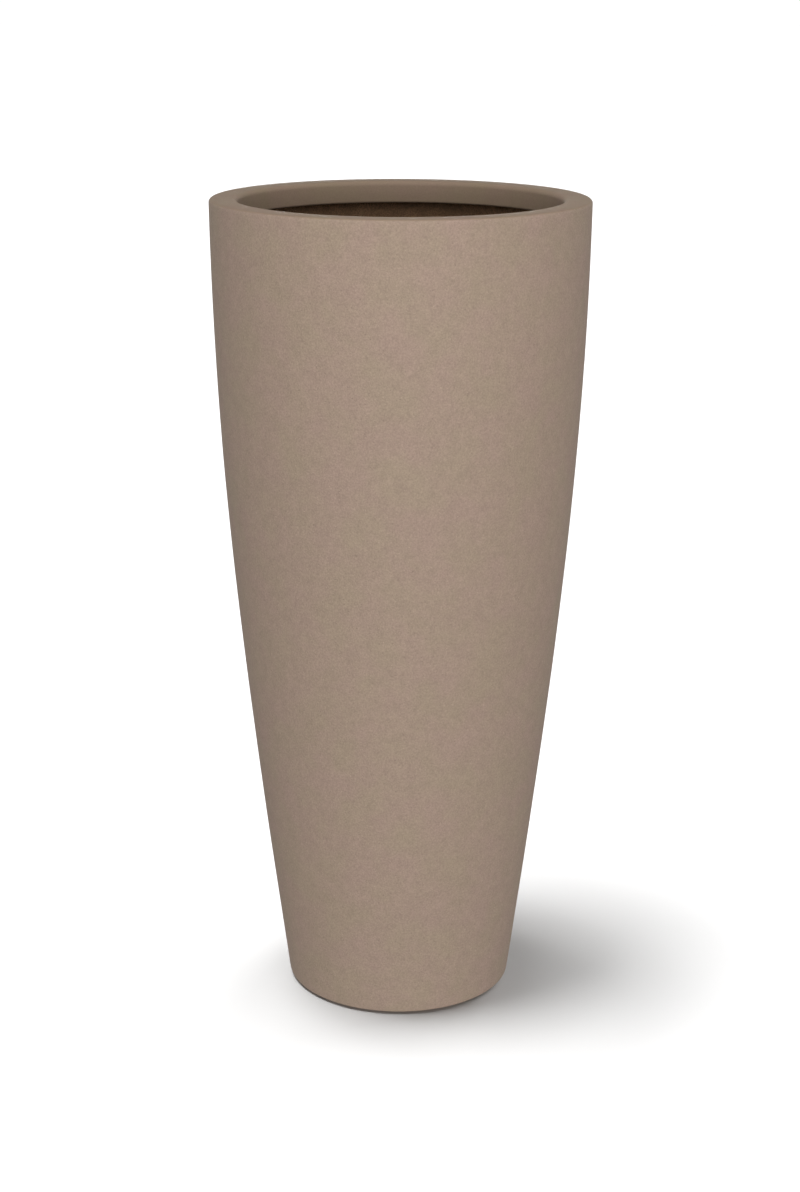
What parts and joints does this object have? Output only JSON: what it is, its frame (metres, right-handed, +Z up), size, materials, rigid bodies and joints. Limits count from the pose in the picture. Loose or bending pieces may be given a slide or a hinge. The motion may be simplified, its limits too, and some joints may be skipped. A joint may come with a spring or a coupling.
{
  "type": "tall round floor planter",
  "caption": "Tall tapered round fibreglass planter with a broad flat rim, a bonded base with a bunged drain, rubber pads and a lift-out planting shelf on lugs.",
  "frame": {"origin": "on the floor, under the middle of the planter", "axes": "+Z up along the planter's axis; one shelf lug lies on +X and the pads lie at 45 degrees to it"},
  "size_m": [0.455, 0.455, 1],
  "materials": {
    "textured_coat": "matte taupe coat with a fine sandy grain on fibreglass",
    "rim_coat": "satin taupe coat, smoother than the wall, on fibreglass",
    "raw_laminate": "uncoated dark brown fibreglass, resin-rich, with strands showing",
    "shelf_laminate": "moulded dark brown fibreglass, satin",
    "drain_plastic": "moulded black plastic, satin",
    "bung_rubber": "moulded black rubber, matte",
    "pad_rubber": "cut black rubber sheet, matte"
  },
  "bodies": {
    "planter": {"outer_shell": "textured_coat", "rim_collar": "rim_coat", "collar_joint_strip": "raw_laminate", "base_plate": "raw_laminate", "base_joint_strip": "raw_laminate", "drain_sleeve": "drain_plastic", "foot_pad_1": "pad_rubber", "foot_pad_2": "pad_rubber", "foot_pad_3": "pad_rubber", "foot_pad_4": "pad_rubber", "shelf_lug_1": "raw_laminate", "shelf_lug_2": "raw_laminate", "shelf_lug_3": "raw_laminate", "shelf_lug_4": "raw_laminate"},
    "shelf": {"planting_shelf": "shelf_laminate"},
    "bung": {"drain_bung": "bung_rubber"}
  },
  "joints": [
    {"name": "shelf_lift", "type": "slide", "parent": "planter", "child": "shelf", "axis": [0, 0, 1], "range_m": [0, 0.62]},
    {"name": "bung_pull", "type": "slide", "parent": "planter", "child": "bung", "axis": [0, 0, 1], "range_m": [0, 1.06]}
  ]
}
